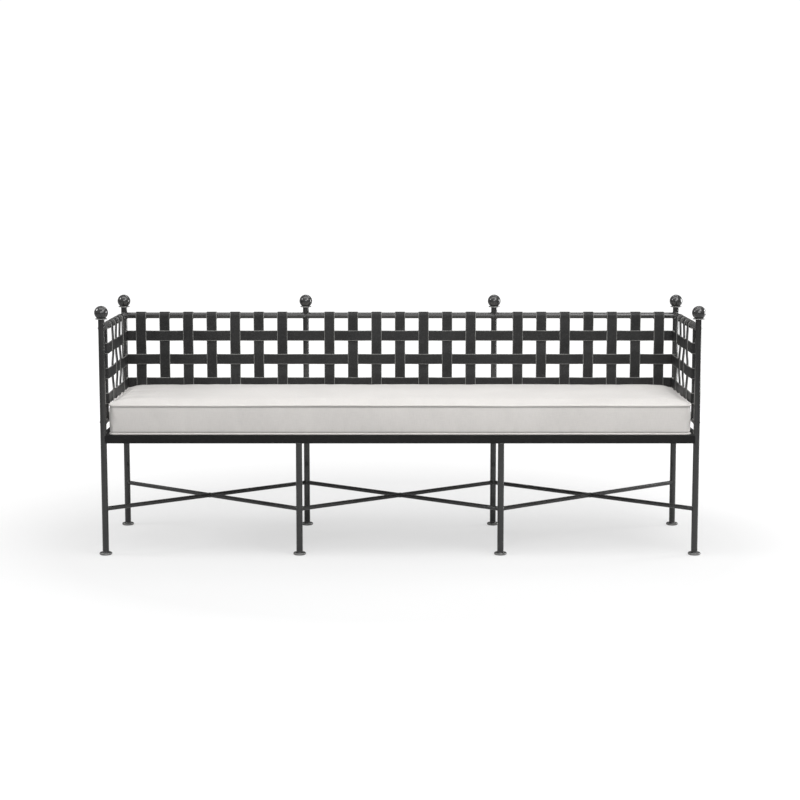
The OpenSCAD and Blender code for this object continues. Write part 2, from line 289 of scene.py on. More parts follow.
class Group(Tree):
    """Node group with named sockets."""

    def __init__(self, name, kind, inputs, outputs):
        super().__init__(bpy.data.node_groups.new(name, kind))
        for label, socket_type, default in inputs:
            made = self.tree.interface.new_socket(label, in_out="INPUT", socket_type=socket_type)
            if default is not None:
                made.default_value = default
        for label, socket_type in outputs:
            self.tree.interface.new_socket(label, in_out="OUTPUT", socket_type=socket_type)
        self.given = self.tree.nodes.new("NodeGroupInput").outputs
        self.out = self.tree.nodes.new("NodeGroupOutput").inputs


class ShapeGroup(Group):
    """Geometry Nodes group that makes one shape."""

    def __init__(self, name, inputs):
        super().__init__(name, "GeometryNodeTree", inputs, [("Geometry", GEOMETRY)])

    def shape_of(self, given, whole_piece=False):
        sockets = {"Object": self.given[given], "As Instance": whole_piece}
        return self.add("GeometryNodeObjectInfo", sockets)["Geometry"]

    def level(self, curve):
        return self.add("GeometryNodeSetCurveNormal", {0: curve}, mode="Z_UP")[0]

    def finish(self, geometry):
        """Realize Instances, smooth shading and Set Material, which end the tree."""
        plain = self.add("GeometryNodeRealizeInstances", {0: geometry})[0]
        shaded = self.add("GeometryNodeSetShadeSmooth", {0: plain, "Shade Smooth": True})[0]
        coat = {0: shaded, "Material": self.given["Material"]}
        self.feed(self.out, {0: self.add("GeometryNodeSetMaterial", coat)[0]})
        return self.tree


BAR_SIZES = [
    ("Width", FLOAT, STRAP_W),
    ("Thickness", FLOAT, STRAP_T),
    ("Edge radius", FLOAT, 1.1 * MM),
]


def flat_bar_tree():
    """Flat bar with rounded edges swept along a level path, its width upright."""
    tree = ShapeGroup("Flat bar", [("Path", GEOMETRY, None), *BAR_SIZES])
    given = tree.given
    sizes = {"Width": given["Thickness"], "Height": given["Width"]}
    section = tree.add("GeometryNodeCurvePrimitiveQuadrilateral", sizes, mode="RECTANGLE")[0]
    rounding = {0: section, "Count": 3, "Radius": given["Edge radius"]}
    rounded = tree.add("GeometryNodeFilletCurve", rounding, mode="POLY")[0]
    # place across the bar, which the coat uses for its painted highlight along the edges
    height = tree.split(tree.add("GeometryNodeInputPosition")[0])["Y"]
    across = tree.math("DIVIDE", height, given["Width"])
    mark = {0: rounded, "Name": "across", "Value": across}
    marked = tree.add("GeometryNodeStoreNamedAttribute", mark, data_type="FLOAT", domain="POINT")
    sweep = {0: tree.level(given["Path"]), 1: marked[0], "Fill Caps": True}
    tree.feed(tree.out, {0: tree.add("GeometryNodeCurveToMesh", sweep)[0]})
    return tree.tree


def strap_run_tree(flat_bar):
    """Run of straps at one pitch; each takes the even or the odd weave path."""
    inputs = [
        ("Even path", OBJECT, None),
        ("Odd path", OBJECT, None),
        ("Edge radius", FLOAT, 1.1 * MM),
        ("Count", INT, 7),
        ("First number", INT, 0),
        ("Mirrored", BOOL, False),
        ("Start", VECTOR, None),
        ("Step", VECTOR, None),
        ("Turn", VECTOR, None),
        ("Material", MATERIAL, None),
    ]
    tree = ShapeGroup("Strap run", inputs)
    given = tree.given
    kinds = tree.tree.nodes.new("GeometryNodeJoinGeometry")
    for side in ("Odd path", "Even path"):
        sizes = {"Path": tree.shape_of(side), "Edge radius": given["Edge radius"]}
        bar = tree.add("GeometryNodeGroup", sizes, node_tree=flat_bar)[0]
        tree.feed(kinds.inputs, {0: tree.add("GeometryNodeGeometryToInstance", {0: bar})[0]})
    span = {"Count": given["Count"], "Start Location": given["Start"], "Offset": given["Step"]}
    number = tree.add("GeometryNodeInputIndex")[0]
    last = tree.math("SUBTRACT", given["Count"], 1.0)
    nearest = tree.math("MINIMUM", number, tree.math("SUBTRACT", last, number))
    choice = {"Switch": given["Mirrored"], "False": number, "True": nearest}
    chosen = tree.add("GeometryNodeSwitch", choice, input_type="FLOAT")[0]
    shifted = tree.math("ADD", chosen, given["First number"])
    copies = {
        "Points": tree.add("GeometryNodeMeshLine", span, mode="OFFSET", count_mode="TOTAL")[0],
        "Instance": kinds.outputs[0],
        "Pick Instance": True,
        "Instance Index": tree.math("MODULO", shifted, 2.0),
        "Rotation": tree.add("FunctionNodeEulerToRotation", {0: given["Turn"]})[0],
    }
    return tree.finish(tree.add("GeometryNodeInstanceOnPoints", copies)[0])


def path_bar_tree(flat_bar):
    """Flat bars along every line of one path object."""
    inputs = [("Places", OBJECT, None), *BAR_SIZES, ("Material", MATERIAL, None)]
    tree = ShapeGroup("Bars along paths", inputs)
    sizes = {size: tree.given[size] for size, _, _ in BAR_SIZES}
    sockets = {"Path": tree.shape_of("Places"), **sizes}
    return tree.finish(tree.add("GeometryNodeGroup", sockets, node_tree=flat_bar)[0])


def round_bead_tree():
    """Round bead along every line of a path object, swelling at each ripple."""
    inputs = [
        ("Places", OBJECT, None),
        ("Radius", FLOAT, 1.7 * MM),
        ("Sides", INT, 8),
        ("Ripple length", FLOAT, 3.2 * MM),
        ("Ripple height", FLOAT, 0.0),
        ("Spacing", FLOAT, 1.0 * MM),
        ("Material", MATERIAL, None),
    ]
    tree = ShapeGroup("Round bead", inputs)
    given = tree.given
    spaced = {0: tree.shape_of("Places"), "Length": given["Spacing"]}
    line = tree.add("GeometryNodeResampleCurve", spaced, mode="LENGTH")[0]
    along = tree.add("GeometryNodeSplineParameter")["Length"]
    turns = tree.math("DIVIDE", along, given["Ripple length"])
    wave = tree.math("SINE", tree.math("MULTIPLY", turns, math.tau))
    swelling = tree.math("MULTIPLY_ADD", wave, given["Ripple height"], 1.0)
    circle = {"Resolution": given["Sides"], "Radius": given["Radius"]}
    ring = tree.add("GeometryNodeCurvePrimitiveCircle", circle, mode="RADIUS")[0]
    sweep = {0: line, 1: ring, "Scale": swelling, "Fill Caps": True}
    return tree.finish(tree.add("GeometryNodeCurveToMesh", sweep)[0])


def copies_tree(name, along_lines):
    """Copies of one small piece, at every point of an object or turned along its lines."""
    inputs = [
        ("Piece", OBJECT, None),
        ("Places", OBJECT, None),
        ("Pitch", FLOAT, 3 * MM),
        ("Material", MATERIAL, None),
    ]
    tree = ShapeGroup(name, inputs)
    copies = {"Instance": tree.shape_of("Piece", whole_piece=True)}
    copies["Points"] = tree.shape_of("Places")
    if along_lines:
        spaced = {0: tree.level(copies["Points"]), "Length": tree.given["Pitch"]}
        points = tree.add("GeometryNodeCurveToPoints", spaced, mode="LENGTH")
        copies.update(Points=points["Points"], Rotation=points["Rotation"])
    return tree.finish(tree.add("GeometryNodeInstanceOnPoints", copies)[0])


# ---- surface effects ----------------------------------------------------------------

FLECK_SCALE = 340.0  # pale flecks in a metre of powder coat, roughly
FLECKS = (0.5, 0.72)  # noise levels at which a fleck starts and is full
FLECK_HEIGHT = 0.35
CLOUDS = (0.3, 0.7, 0.1, 0.4)  # noise levels of the broad clouds, and the tones they give
ROUGHNESS_SPREAD = 0.16
COAT_TONES = (0.7, 2.1)  # shares of its colour that a powder coat runs between
COAT_BUMP = (0.12 * MM, 0.15)  # height and strength
HIGHLIGHT_BREAKS = (0.8, 0.6)  # how much the coat's own tone breaks up the painted highlight and reflection, and the rest
CLOTH_TONES = (0.9, 1.07)
PLASTIC_TONES = (0.85, 1.1)
FOAM_TONES = (0.8, 1.05)
CLOTH_BUMP = (0.25 * MM, 0.6)
FOAM_BUMP = (0.4 * MM, 0.7)
THREAD_TONE = 0.25
STREAK_HEIGHT = 0.6
# pale colour of the painted highlight on bars' edges and the painted reflection on rims
PAINTED_HIGHLIGHT_COLOUR = (0.30, 0.30, 0.29, 1.0)
EDGE_HIGHLIGHT_SPAN = (0.435, 0.47)  # where the painted highlight along a bar's edges starts and is full, as a share of its width
RIM_REFLECTION_SPAN = (0.9, 0.4)  # the same for the painted reflection on rims, by how level a rim faces
SEAM_SHADE_TONE = 0.6  # painted shade: how dark the cloth is painted deep in a seam, as a share of its colour
STREAKS = (40.0, 420.0)  # scales of a thread's unevenness, along it and across it


def powder_coat_group():
    """Grain of a baked powder coat: tone, roughness and height over the surface."""
    inputs = [("Grain", FLOAT, 420.0), ("Speckle", FLOAT, 0.5), ("Roughness", FLOAT, 0.4)]
    outputs = [("Tone", FLOAT), ("Roughness", FLOAT), ("Height", FLOAT)]
    tree = Group("Powder coat grain", "ShaderNodeTree", inputs, outputs)
    place = tree.object_place()
    fine = tree.noise(place, tree.given["Grain"], 3.0)
    broad = tree.noise(place, 9.0, 4.0)
    dots = tree.ramp(tree.noise(place, FLECK_SCALE, 2.0), *FLECKS)
    cloudy = tree.ramp(broad, *CLOUDS)
    uneven = tree.math("MULTIPLY_ADD", broad, ROUGHNESS_SPREAD, -ROUGHNESS_SPREAD / 2)
    made = {
        "Tone": tree.math("ADD", cloudy, tree.math("MULTIPLY", dots, tree.given["Speckle"])),
        "Roughness": tree.math("ADD", tree.given["Roughness"], uneven),
        "Height": tree.math("MULTIPLY_ADD", dots, FLECK_HEIGHT, fine),
    }
    tree.feed(tree.out, made)


def plain_weave_group():
    """Plain weave on the cloth's own flat coordinates, in metres: tone and height."""
    inputs = [("Thread pitch", FLOAT, 0.8 * MM), ("Slubs", FLOAT, 0.5)]
    outputs = [("Tone", FLOAT), ("Height", FLOAT)]
    tree = Group("Plain weave", "ShaderNodeTree", inputs, outputs)
    flat = tree.add("ShaderNodeUVMap", uv_map="cloth")[0]
    split = tree.split(flat)
    threads, slubs = [], []
    for axis, stretch in enumerate((STREAKS, STREAKS[::-1])):
        turns = tree.math("DIVIDE", split[axis], tree.given["Thread pitch"])
        threads.append(tree.math("SINE", tree.math("MULTIPLY", turns, math.pi)))
        scaled = tree.add("ShaderNodeMapping", {"Vector": flat, "Scale": (*stretch, 1.0)})[0]
        slubs.append(tree.noise(scaled, 1.0, 2.0))
    over = tree.math("GREATER_THAN", tree.math("MULTIPLY", *threads), 0.0)
    warp, weft = (tree.math("ABSOLUTE", thread) for thread in threads)
    sides = {"Factor": over, "A": warp, "B": weft}
    height = tree.add("ShaderNodeMix", sides, data_type="FLOAT")[0]
    streaks = tree.math("MULTIPLY", tree.math("ADD", *slubs), 0.5)
    uneven = tree.math("SUBTRACT", streaks, 0.5)
    soft = tree.math("MULTIPLY_ADD", uneven, tree.given["Slubs"], tree.noise(flat, 5.0, 3.0))
    made = {
        "Tone": tree.math("MULTIPLY_ADD", height, THREAD_TONE, soft),
        "Height": tree.math("MULTIPLY_ADD", streaks, STREAK_HEIGHT, height),
    }
    tree.feed(tree.out, made)


def new_material(name):
    """Material, its tree and the inputs of its Principled BSDF."""
    made = bpy.data.materials.new(name)
    made.use_nodes = True
    return made, Tree(made.node_tree), made.node_tree.nodes["Principled BSDF"].inputs


def coated_iron(
    name,
    colour,
    roughness,
    grain=420.0,
    speckle=0.9,
    painted_highlight=0.0,
    gloss=0.0,
    specular=0.5,
    rims=False,
):
    """Powder coat over iron; a painted highlight lightens a bar's edges, or a painted reflection
    lightens its rims, as far as one argument says.
    """
    made, tree, shader = new_material(name)
    group = bpy.data.node_groups["Powder coat grain"]
    sizes = {"Grain": grain, "Speckle": speckle, "Roughness": roughness}
    coat = tree.add("ShaderNodeGroup", sizes, node_tree=group)
    # where the painted highlight goes: on rims by the normal, else along a bar's edges
    if rims:
        place, ends = tree.split(tree.add("ShaderNodeNewGeometry")["Normal"])["Z"], RIM_REFLECTION_SPAN
    else:
        place, ends = tree.add("ShaderNodeAttribute", attribute_name="across")["Fac"], EDGE_HIGHLIGHT_SPAN
    # painted highlight mask, broken up by the coat's tone
    edge = tree.ramp(tree.math("ABSOLUTE", place), *ends)
    broken = tree.math("MULTIPLY_ADD", coat["Tone"], *HIGHLIGHT_BREAKS)
    highlight_share = tree.math("MULTIPLY", tree.math("MULTIPLY", edge, painted_highlight), broken)
    look = {
        "Base Color": tree.blend(highlight_share, tree.toned(coat["Tone"], colour, *COAT_TONES), PAINTED_HIGHLIGHT_COLOUR),
        "Roughness": coat["Roughness"],
        "Normal": tree.bump(coat["Height"], *COAT_BUMP),
        "Coat Weight": gloss,
        "Coat Roughness": 0.07,
        "Specular IOR Level": specular,
    }
    tree.feed(shader, look)
    return made


def woven_cloth(name, colour, pitch, slubs):
    """Woven cloth, with painted shade where an attribute on its mesh says that it goes into a seam.
    """
    made, tree, shader = new_material(name)
    group = bpy.data.node_groups["Plain weave"]
    sizes = {"Thread pitch": pitch, "Slubs": slubs}
    weave = tree.add("ShaderNodeGroup", sizes, node_tree=group)
    # painted shade in the seams, from the cover's attribute
    seam_shade = tree.add("ShaderNodeAttribute", attribute_name="seam_shade")["Fac"]
    unshaded = tree.toned(weave["Tone"], colour, *CLOTH_TONES)
    look = {
        "Base Color": tree.blend(seam_shade, unshaded, opaque(colour, SEAM_SHADE_TONE)),
        "Normal": tree.bump(weave["Height"], *CLOTH_BUMP),
        "Roughness": 0.92,
        "Specular IOR Level": 0.2,
        "Sheen Weight": 0.25,
        "Sheen Roughness": 0.6,
    }
    tree.feed(shader, look)
    return made


def plain_plastic(name, colour, roughness, metallic=0.0):
    """Smooth small parts with a faint mottle."""
    made, tree, shader = new_material(name)
    mottle = tree.noise(tree.object_place(), 260.0, 2.0)
    look = {"Base Color": tree.toned(mottle, colour, *PLASTIC_TONES)}
    tree.feed(shader, {**look, "Roughness": roughness, "Metallic": metallic})
    return made


# ---- meshes --------------------------------------------------------------------------


def link_object(name, data):
    made = bpy.data.objects.new(name, data)
    bpy.context.scene.collection.objects.link(made)
    return made


def mesh_of(name, verts, faces):
    mesh = bpy.data.meshes.new(name)
    mesh.from_pydata(verts, [], faces)
    return mesh


def path_object(name, lines, closed=False):
    """Curve object that holds lines of points, for a node tree to follow."""
    curve = bpy.data.curves.new(name, "CURVE")
    curve.dimensions = "3D"
    for points in lines:
        spline = curve.splines.new("POLY")
        spline.points.add(len(points) - 1)
        for made, point in zip(spline.points, points):
            made.co = (*point, 1.0)
        spline.use_cyclic_u = closed
    return link_object(name, curve)


def grow(name, tree, values):
    """Plain mesh object that a node tree makes from the given inputs."""
    made = link_object(name, bpy.data.meshes.new(name))
    modifier = made.modifiers.new("Build", "NODES")
    modifier.node_group = tree
    for item in tree.interface.items_tree:
        if item.item_type == "SOCKET" and item.in_out == "INPUT" and item.name in values:
            modifier[item.identifier] = values[item.name]
    graph = bpy.context.evaluated_depsgraph_get()
    mesh = bpy.data.meshes.new_from_object(made.evaluated_get(graph), depsgraph=graph)
    if not mesh.polygons:
        raise RuntimeError(f"{name} came out empty")
    made.modifiers.clear()
    made.data = mesh
    mesh.name = name
    return made


def discard(*objects):
    for made in objects:
        bpy.data.objects.remove(made)


def block_object(name, size, bevel, centre=(0.0, 0.0, 0.0)):
    """Box of a size about a centre, with rounded edges."""
    shape = bmesh.new()
    bmesh.ops.create_cube(shape, size=1.0)
    for vertex in shape.verts:
        vertex.co = Vector(a * b for a, b in zip(vertex.co, size)) + Vector(centre)
    bmesh.ops.bevel(
        shape, geom=shape.edges[:], offset=bevel, segments=2, profile=0.5, affect="EDGES"
    )
    mesh = bpy.data.meshes.new(name)
    shape.to_mesh(mesh)
    shape.free()
    return link_object(name, mesh)


def settle(piece, body, slot, *nodes):
    """Rides on a body and stands for CAD nodes, which it hides; the slot is not used."""
    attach(piece, body)
    if nodes:
        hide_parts(*nodes)
    return piece


def iron_piece(name, tree, values, slot, node):
    """Piece of the frame whose wide flat faces stay flat next to rounded edges."""
    piece = grow(name, tree, values)
    weighted = piece.modifiers.new("Even shading", "WEIGHTED_NORMAL")
    weighted.keep_sharp = False
    weighted.weight = 80
    settle(piece, FRAME_BODY, slot, node)


def arc(centre, radius, start, end, steps):
    return [
        (centre[0] + radius * math.cos(a), centre[1] + radius * math.sin(a))
        for a in (start + (end - start) * k / steps for k in range(steps + 1))
    ]


# ---- iron frame ------------------------------------------------------------------------

ENDS = ("left", "right")
BAYS = ("left", "mid", "right")
TUBE_NODES = (
    [f"{part}_{s}" for part in ("front_post", "front_leg_mid", "arm_upright") for s in ENDS]
    + [f"{part}_{s}" for part in ("rear_post", "rear_post_mid") for s in ENDS]
    + [f"finial_{part}_{s}" for part in ("front", "rear", "rear_mid") for s in ENDS]
    + [f"back_{height}_rail_{s}" for height in ("top", "lower") for s in BAYS]
    + [f"arm_{height}_rail_{s}" for height in ("top", "lower") for s in ENDS]
    + [f"stretcher_{kind}_{s}" for kind in ("through", "halves") for s in BAYS]
    + ["deck_crossbars"]
)
FOOT_NODES = [f"foot_{f}_{s}" for f in ("front", "front_mid", "rear", "rear_mid") for s in ENDS]
SEAT_NODES = [f"seat_rail_{s}" for s in ("front", "rear", *ENDS)]
# pale grey over the whole collar, a painted highlight for the light its rims catch
COLLAR_HIGHLIGHT_COLOUR = (0.2, 0.2, 0.195)


class DAYBED_OT_iron_frame(bpy.types.Operator):
    """Coats the posts, rails, finials, feet, stretchers and seat rails"""

    bl_idname = "daybed.iron_frame"
    bl_label = "Coat the iron frame"

    def execute(self, context):
        paint = context.scene.daybed_paint
        powder_coat_group()
        tube = {"colour": paint.tube_colour, "roughness": paint.tube_gloss}
        tube.update(speckle=0.3, gloss=0.9)
        coats = (
            (TUBE_NODES, coated_iron("Charcoal tube coat", **tube)),
            # painted reflection of the floor on the feet's rims
            (FOOT_NODES, coated_iron("Charcoal foot coat", **tube, painted_highlight=0.7, rims=True)),
            (
                SEAT_NODES,
                coated_iron(
                    "Charcoal seat rail coat", paint.seat_colour, 0.5, grain=520.0, specular=0.2
                ),
            ),
        )
        # painted highlight along the straps' edges
        coated_iron(
            "Charcoal strap coat",
            paint.strap_colour,
            paint.strap_gloss,
            grain=520.0,
            painted_highlight=0.8,
            specular=0.25,
        )
        # the collars' pale colour is a painted highlight
        coated_iron("Collar coat with painted highlight", COLLAR_HIGHLIGHT_COLOUR, 0.25, speckle=0.6, gloss=0.5)
        for nodes, coat in coats:
            for name in nodes:
                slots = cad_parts[name].data.materials
                slots.clear()
                slots.append(coat)
        return {"FINISHED"}


# Half of a collar's lathe outline, as shares of its radius and thickness, from hole to rim
COLLAR_OUTLINE = [(0.0, 0.0), (0.93, 0.0), (0.985, 0.16), (1.0, 0.5)]
COLLAR_SIDES = 48
COLLAR_BORE = 0.8  # radius of the hole as a share of the posts' radius


def collar_mesh(outer, inner, thickness):
    """Thin disc with a rounded rim and a hole for the finial's spigot."""
    mirrored = [(r, 1.0 - h) for r, h in COLLAR_OUTLINE[-2::-1]]
    outline = [(inner + (outer - inner) * r, thickness * h) for r, h in COLLAR_OUTLINE + mirrored]
    sides = range(COLLAR_SIDES)
    angles = [math.tau * k / COLLAR_SIDES for k in sides]
    verts = [(r * math.cos(a), r * math.sin(a), h) for r, h in outline for a in angles]
    faces = []
    for i in range(len(outline)):
        low, high = i * COLLAR_SIDES, (i + 1) % len(outline) * COLLAR_SIDES
        for k in sides:
            after = (k + 1) % COLLAR_SIDES
            faces.append((low + k, low + after, high + after, high + k))
    return mesh_of("collar_pattern", verts, faces)


class DAYBED_OT_collars(bpy.types.Operator):
    """Puts a rounded disc collar under each finial"""

    bl_idname = "daybed.collars"
    bl_label = "Turn the collars"

    def execute(self, context):
        outer = COLLAR.x / 2 - HALF_SPAN
        disc = link_object("collar_pattern", collar_mesh(outer, TUBE_R * COLLAR_BORE, COLLAR.z))
        places = [(x, FRONT_Y, POST_TOP) for x in (-HALF_SPAN, HALF_SPAN)]
        places += [(x, REAR_Y, POST_TOP) for x in POSTS_X]
        spots = link_object("collar_places", mesh_of("collar_places", places, []))
        tree = copies_tree("Copies at places", along_lines=False)
        coat = bpy.data.materials["Collar coat with painted highlight"]
        run = {"Piece": disc, "Places": spots, "Material": coat}
        iron_piece("collars", tree, run, "frame_iron", "finial_collars")
        discard(disc, spots)
        return {"FINISHED"}


# ---- weave -------------------------------------------------------------------------------

FLAT_HALF = STRAP_W / 2 + MM
EASE_STEPS = 10
LOOP_STEPS = 30
QUARTER_TURN = math.radians(90)


def strap_pitch(low, high, count):
    """Distance between the middles of straps that fill the room from low to high."""
    return (high - low - STRAP_W) / (count - 1)


def loop_stop(rail_radius):
    """Angle from a strap's flat to the end of its loop, clear of the strap's own face."""
    gap = bpy.context.scene.daybed_straps.loop_gap
    return math.acos(rail_radius / (rail_radius + STRAP_T)) + gap


def eased(stops):
    """Points through stops of (place along, sideways), with smooth bends between them."""
    line = [stops[0]]
    for (start, before), (end, after) in zip(stops, stops[1:]):
        steps = 1 if before == after else EASE_STEPS
        for k in range(1, steps + 1):
            share = k / steps
            swing = before + (after - before) * (1 - math.cos(math.pi * share)) / 2
            line.append((start + (end - start) * share, swing))
    return line


def crossing(place, seatwards):
    """Flat stretch of a strap where it crosses another, on the seat's side or the other."""
    swing = WEAVE_SWING if seatwards else -WEAVE_SWING
    return [(place - FLAT_HALF, swing), (place + FLAT_HALF, swing)]


def weave_line(inside_first):
    """Upright strap in its own plane: x inwards from the rails' centre line, y up."""
    stop = loop_stop(TUBE_R)
    line = arc((0.0, TOP_RAIL_Z), WEAVE_OFFSET, -stop, -math.tau, LOOP_STEPS)
    stops = [(-TOP_RAIL_Z, 0.0)]
    for row, height in enumerate(ROW_HEIGHTS):
        stops += crossing(-height, (row % 2 == 0) == inside_first)
    stops.append((-LOWER_RAIL_Z, 0.0))
    line += [(WEAVE_OFFSET + swing, -place) for place, swing in eased(stops)[1:]]
    line += arc((0.0, LOWER_RAIL_Z), WEAVE_OFFSET, 0.0, stop - math.tau, LOOP_STEPS)[1:]
    return [(x, y, 0.0) for x, y in line]


def back_row_line(row, count, pitch):
    """Row across the back as (x, sideways towards the seat), from the left corner to the right."""
    post = (count + 1) // 2
    corner = HALF_SPAN - TUBE_R - STRAP_T
    stops = [(-HALF_SPAN, 0.0), (-corner, 0.0)]
    for k in range(-post - count, post + count + 1):
        if abs(k) == post:
            place = math.copysign(HALF_MID, k)
            stops += [(place - TUBE_R, 0.0), (place + TUBE_R, 0.0)]
        else:
            stops += crossing(k * pitch, (abs(k) + row) % 2 == 0)
    stops += [(corner, 0.0), (HALF_SPAN, 0.0)]
    return eased(stops)


def arm_row_line(row, count):
    """Row along an arm as (y, sideways towards the seat), from its upright to the corner."""
    pitch = strap_pitch(ARM_LOW, ARM_HIGH, count)
    stops = [(UPRIGHT_Y, 0.0)]
    for k in range(count):
        nearest = min(k, count - 1 - k)
        stops += crossing(ARM_LOW + STRAP_W / 2 + k * pitch, (nearest + row) % 2 == 1)
    stops.append((REAR_Y - TUBE_R - STRAP_T, 0.0))
    return eased(stops)


def strap_piece(name, tree, values, node):
    """Piece in strap iron."""
    edge = bpy.context.scene.daybed_straps.edge_round
    shared = {"Edge radius": edge, "Material": bpy.data.materials["Charcoal strap coat"]}
    iron_piece(name, tree, {**shared, **values}, "strap_iron", node)


class DAYBED_OT_upright_straps(bpy.types.Operator):
    """Weaves the upright straps of the back and the arms round their rails"""

    bl_idname = "daybed.upright_straps"
    bl_label = "Weave the upright straps"

    def execute(self, context):
        straps = context.scene.daybed_straps
        tree = strap_run_tree(flat_bar_tree())
        even = path_object("weave_even", [weave_line(False)])
        odd = path_object("weave_odd", [weave_line(True)])
        pitch = strap_pitch(0.0, BACK_RUN, straps.bay_count)
        runs = []
        for side, end, inwards in (("left", 0, 1), ("mid", 0, 1), ("right", 1, -1)):
            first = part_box(f"back_straps_{side}")[end].x + inwards * STRAP_W / 2
            step = (inwards * pitch, 0.0, 0.0)
            runs.append(("back", side, straps.bay_count, (first, REAR_Y, 0.0), step, -QUARTER_TURN))
        step = (0.0, strap_pitch(ARM_LOW, ARM_HIGH, straps.arm_count), 0.0)
        for side, x, turn in (("left", -HALF_SPAN, 0.0), ("right", HALF_SPAN, math.pi)):
            first = (x, ARM_LOW + STRAP_W / 2, 0.0)
            runs.append(("arm", side, straps.arm_count, first, step, turn))
        for part, side, count, start, step, turn in runs:
            run = {
                "Even path": even,
                "Odd path": odd,
                "Count": count,
                "First number": 1,
                "Mirrored": part == "arm",
                "Start": start,
                "Step": step,
                "Turn": (QUARTER_TURN, 0.0, turn),
            }
            strap_piece(f"upright_straps_{part}_{side}", tree, run, f"{part}_straps_{side}")
        discard(even, odd)
        return {"FINISHED"}


class DAYBED_OT_rows(bpy.types.Operator):
    """Makes the level straps of the back and the arms, with an eye round each arm upright"""

    bl_idname = "daybed.rows"
    bl_label = "Bend the rows"

    def execute(self, context):
        straps = context.scene.daybed_straps
        tree = path_bar_tree(bpy.data.node_groups["Flat bar"])
        pitch = strap_pitch(0.0, BACK_RUN, straps.bay_count)
        pieces = []
        for row, name in enumerate(("top", "middle", "bottom")):
            line = back_row_line(row, straps.bay_count, pitch)
            back = [(x, REAR_Y - WEAVE_OFFSET - swing, ROW_HEIGHTS[row]) for x, swing in line]
            pieces.append((f"row_back_{name}", [back], f"back_row_{name}"))
        stop = loop_stop(UPRIGHT_R)
        eye = arc((UPRIGHT_X, UPRIGHT_Y), UPRIGHT_R + STRAP_T / 2, stop - math.tau, 0.0, LOOP_STEPS)
        for side, sign in (("left", 1), ("right", -1)):
            lines = []
            for row, height in enumerate(ROW_HEIGHTS):
                line = arm_row_line(row, straps.arm_count)[1:]
                run = [(eye[-1][0] + swing, y) for y, swing in line]
                lines.append([(sign * x, y, height) for x, y in eye + run])
            pieces.append((f"rows_arm_{side}", lines, f"arm_rows_{side}"))
        for name, lines, node in pieces:
            path = path_object("row_path", lines)
            strap_piece(name, tree, {"Places": path}, node)
            discard(path)
        return {"FINISHED"}


class DAYBED_OT_deck(bpy.types.Operator):
    """Lays the flat slats that carry the cushion"""

    bl_idname = "daybed.deck"
    bl_label = "Lay the deck slats"

    def execute(self, context):
        count = context.scene.daybed_straps.slat_count
        low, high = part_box("deck_slats")
        slat = path_object("slat", [[(0.0, low.y, 0.0), (0.0, high.y, 0.0)]])
        run = {
            "Even path": slat,
            "Odd path": slat,
            "Count": count,
            "First number": 0,
            "Mirrored": False,
            "Start": (low.x + STRAP_W / 2, 0.0, (low.z + high.z) / 2),
            "Step": (strap_pitch(low.x, high.x, count), 0.0, 0.0),
            "Turn": (0.0, QUARTER_TURN, 0.0),
        }
        strap_piece("deck_slats_flat", bpy.data.node_groups["Strap run"], run, "deck_slats")
        discard(slat)
        return {"FINISHED"}


# ---- welds ----------------------------------------------------------------------------------

BEAD_STEPS = 40
BOX_SIDE_STEPS = 8
ALONG_X, ALONG_Y, UP = Vector((1, 0, 0)), Vector((0, 1, 0)), Vector((0, 0, 1))


def to_left(direction):
    return Vector((-direction.y, direction.x, 0.0))


def cope_line(x, y, height, direction, outline):
    """Seam of a bar on a round post; the bar's outline is (sideways, up) points."""
    base, side = Vector((x, y, height)), to_left(direction)
    line = []
    for sideways, up in outline:
        reach = math.sqrt(max(TUBE_R**2 - sideways**2, 0.0))
        line.append(base + direction * reach + side * sideways + UP * up)
    return line


def rail_seams(height, outline):
    """Seams of the bars at one height along the back and the two arms."""
    seams = []
    for x in (-HALF_SPAN, -HALF_MID, HALF_MID):
        seams.append(cope_line(x, REAR_Y, height, ALONG_X, outline))
        seams.append(cope_line(-x, REAR_Y, height, -ALONG_X, outline))
    for x in (-HALF_SPAN, HALF_SPAN):
        seams.append(cope_line(x, FRONT_Y, height, ALONG_Y, outline))
        seams.append(cope_line(x, REAR_Y, height, -ALONG_Y, outline))
    return seams


def round_outline(radius):
    return arc((0.0, 0.0), radius, 0.0, math.tau, BEAD_STEPS)[:-1]


def box_outline(half_width, half_height):
    corners = [(1, 1), (-1, 1), (-1, -1), (1, -1)]
    points = []
    for (ax, ay), (bx, by) in zip(corners, corners[1:] + corners[:1]):
        for share in (k / BOX_SIDE_STEPS for k in range(BOX_SIDE_STEPS)):
            x, y = ax + (bx - ax) * share, ay + (by - ay) * share
            points.append((half_width * x, half_height * y))
    return points


def tube_seams():
    """Seams of the round rails and the arm uprights."""
    tube, rod = round_outline(TUBE_R), round_outline(UPRIGHT_R)
    seams = rail_seams(TOP_RAIL_Z, tube) + rail_seams(LOWER_RAIL_Z, tube)
    offset = UPRIGHT_X + HALF_SPAN
    for sign in (1, -1):
        for height, facing in ((TOP_RAIL_Z, -1), (LOWER_RAIL_Z, 1)):
            line = []
            for px, py in rod:
                reach = math.sqrt(max(TUBE_R**2 - (offset + px) ** 2, 0.0))
                line.append((sign * (UPRIGHT_X + px), UPRIGHT_Y + py, height + facing * reach))
            seams.append(line)
    return seams


